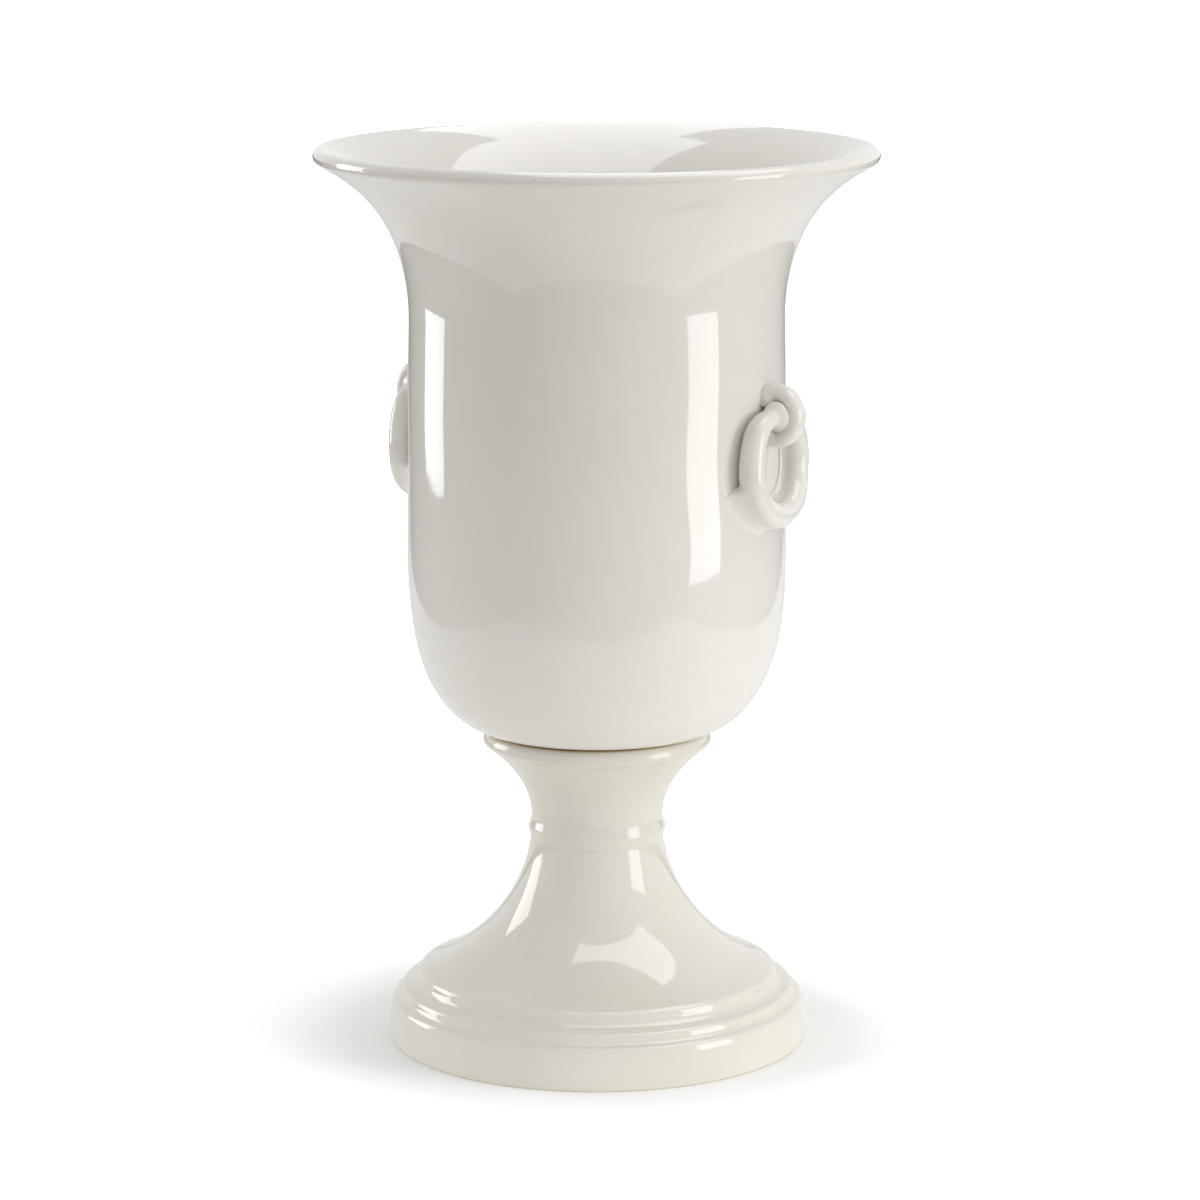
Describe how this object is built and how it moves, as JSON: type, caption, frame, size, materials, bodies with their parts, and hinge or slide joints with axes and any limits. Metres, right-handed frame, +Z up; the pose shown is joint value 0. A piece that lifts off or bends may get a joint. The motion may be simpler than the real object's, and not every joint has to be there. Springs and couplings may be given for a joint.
{
  "type": "ring vase",
  "caption": "Footed ceramic vase with a bell-shaped bowl, a rolled flaring rim, a stepped hollow pedestal and fixed ring handles gripped by clay lugs.",
  "frame": {"origin": "middle of the foot's underside, on the vase's axis", "axes": "+Z up along the vase's axis, with the two ring handles at +X and -X"},
  "size_m": [0.2668, 0.2668, 0.432],
  "materials": {
    "ivory_glaze": "high gloss glaze over white clay",
    "cream_glaze": "high gloss glaze, a little warmer",
    "zinc_steel": "zinc plated",
    "black_rubber": "matt"
  },
  "bodies": {
    "root": {"pedestal": "cream_glaze", "bowl": "ivory_glaze", "ring_right": "ivory_glaze", "lug_right": "ivory_glaze", "ring_left": "ivory_glaze", "lug_left": "ivory_glaze", "seal_washer": "black_rubber", "clamp_washer": "zinc_steel", "tie_bolt": "zinc_steel", "seat_gasket": "black_rubber", "cushion_washer": "black_rubber", "lower_washer": "zinc_steel", "lock_washer": "zinc_steel", "hex_nut": "zinc_steel"}
  },
  "joints": []
}
